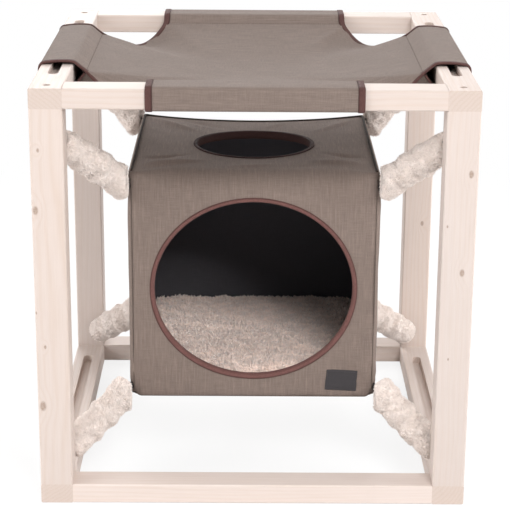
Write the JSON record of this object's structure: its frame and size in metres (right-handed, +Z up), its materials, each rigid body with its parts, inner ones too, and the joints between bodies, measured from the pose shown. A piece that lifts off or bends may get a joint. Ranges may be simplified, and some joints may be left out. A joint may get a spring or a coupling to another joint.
{
  "type": "cat condo",
  "caption": "Open timber cube with a soft house hung inside on plush-sleeved straps, a round entrance, a hole in its top, a loose cushion and a cloth hammock across the top rails.",
  "frame": {"origin": "on the floor, at the middle of the frame's footprint", "axes": "+Z up, -Y towards the front with the entrance, +X to the right seen from the front"},
  "size_m": [0.6044, 0.6044, 0.6022],
  "materials": {
    "pine": "planed, clear matt",
    "dowel_wood": "plain",
    "steel": "plated",
    "brass": "plain",
    "elastic_cord": "braided",
    "dark_webbing": "woven",
    "taupe_cloth": "fine woven melange",
    "dark_lining": "matt",
    "russet_binding": "bias tape",
    "grey_patch": "plain woven",
    "beige_plush": "long pile",
    "cream_plush": "long pile",
    "felt_board": "pressed felt"
  },
  "bodies": {
    "frame": {"side_rail_top_left": "pine", "side_rail_top_right": "pine", "side_rail_bottom_left": "pine", "side_rail_bottom_right": "pine", "post_front_left": "pine", "post_front_right": "pine", "post_back_left": "pine", "post_back_right": "pine", "cross_rail_top_front": "pine", "cross_rail_top_back": "pine", "cross_rail_bottom_front": "pine", "cross_rail_bottom_back": "pine", "post_bolts": "steel", "rail_bolts": "steel", "inserts": "brass", "dowels": "dowel_wood", "screw_eyes": "steel", "snap_hooks": "steel", "strap_cords": "elastic_cord", "sleeve_up_front_left": "cream_plush", "sleeve_up_front_right": "cream_plush", "sleeve_up_back_left": "cream_plush", "sleeve_up_back_right": "cream_plush", "sleeve_low_front_left": "cream_plush", "sleeve_low_front_right": "cream_plush", "sleeve_low_back_left": "cream_plush", "sleeve_low_back_right": "cream_plush", "hammock_cloth": "taupe_cloth", "tunnel_front": "taupe_cloth", "tunnel_back": "taupe_cloth", "tunnel_left": "taupe_cloth", "tunnel_right": "taupe_cloth", "tunnel_bindings": "russet_binding", "corner_bindings": "russet_binding"},
    "house": {"corner_rings": "steel", "corner_tabs": "dark_webbing", "house_cover": "taupe_cloth", "house_lining": "dark_lining", "board_front": "felt_board", "board_back": "felt_board", "board_left": "felt_board", "board_right": "felt_board", "board_top": "felt_board", "board_bottom": "felt_board", "entry_binding": "russet_binding", "hatch_binding": "russet_binding", "top_piping": "dark_webbing", "cloth_patch": "grey_patch"},
    "cushion": {"cushion": "beige_plush"},
    "gate_up_front_left": {"gate_up_front_left": "steel"},
    "gate_up_front_right": {"gate_up_front_right": "steel"},
    "gate_up_back_left": {"gate_up_back_left": "steel"},
    "gate_up_back_right": {"gate_up_back_right": "steel"},
    "gate_low_front_left": {"gate_low_front_left": "steel"},
    "gate_low_front_right": {"gate_low_front_right": "steel"},
    "gate_low_back_left": {"gate_low_back_left": "steel"},
    "gate_low_back_right": {"gate_low_back_right": "steel"}
  },
  "joints": [
    {"name": "house_twist", "type": "hinge", "parent": "frame", "child": "house", "pos_m": [0, 0, 0.283], "axis": [0, 0, 1], "range_deg": [-8, 8], "stiffness_Nm_per_rad": 3, "deforming": ["strap_cords", "sleeve_up_front_left", "sleeve_up_front_right", "sleeve_up_back_left", "sleeve_up_back_right", "sleeve_low_front_left", "sleeve_low_front_right", "sleeve_low_back_left", "sleeve_low_back_right"]},
    {"name": "cushion_lift", "type": "slide", "parent": "house", "child": "cushion", "axis": [0, 0, 1], "range_m": [0, 0.12]},
    {"name": "gate_up_front_left_hinge", "type": "hinge", "parent": "frame", "child": "gate_up_front_left", "pos_m": [-0.24378, -0.22952, 0.50191], "axis": [0.3538, -0.8771, -0.3248], "range_deg": [0, 20], "stiffness_Nm_per_rad": 0.02},
    {"name": "gate_up_front_right_hinge", "type": "hinge", "parent": "frame", "child": "gate_up_front_right", "pos_m": [0.24378, -0.22952, 0.50191], "axis": [0.3538, 0.8771, 0.3248], "range_deg": [0, 20], "stiffness_Nm_per_rad": 0.02},
    {"name": "gate_up_back_left_hinge", "type": "hinge", "parent": "frame", "child": "gate_up_back_left", "pos_m": [-0.24378, 0.22952, 0.50191], "axis": [-0.3538, -0.8771, 0.3248], "range_deg": [0, 20], "stiffness_Nm_per_rad": 0.02},
    {"name": "gate_up_back_right_hinge", "type": "hinge", "parent": "frame", "child": "gate_up_back_right", "pos_m": [0.24378, 0.22952, 0.50191], "axis": [-0.3538, 0.8771, -0.3248], "range_deg": [0, 20], "stiffness_Nm_per_rad": 0.02},
    {"name": "gate_low_front_left_hinge", "type": "hinge", "parent": "frame", "child": "gate_low_front_left", "pos_m": [-0.251, -0.22901, 0.07692], "axis": [0.3818, -0.8681, 0.3171], "range_deg": [0, 20], "stiffness_Nm_per_rad": 0.02},
    {"name": "gate_low_front_right_hinge", "type": "hinge", "parent": "frame", "child": "gate_low_front_right", "pos_m": [0.251, -0.22901, 0.07692], "axis": [0.3818, 0.8681, -0.3171], "range_deg": [0, 20], "stiffness_Nm_per_rad": 0.02},
    {"name": "gate_low_back_left_hinge", "type": "hinge", "parent": "frame", "child": "gate_low_back_left", "pos_m": [-0.251, 0.22901, 0.07692], "axis": [-0.3818, -0.8681, -0.3171], "range_deg": [0, 20], "stiffness_Nm_per_rad": 0.02},
    {"name": "gate_low_back_right_hinge", "type": "hinge", "parent": "frame", "child": "gate_low_back_right", "pos_m": [0.251, 0.22901, 0.07692], "axis": [-0.3818, 0.8681, 0.3171], "range_deg": [0, 20], "stiffness_Nm_per_rad": 0.02}
  ]
}
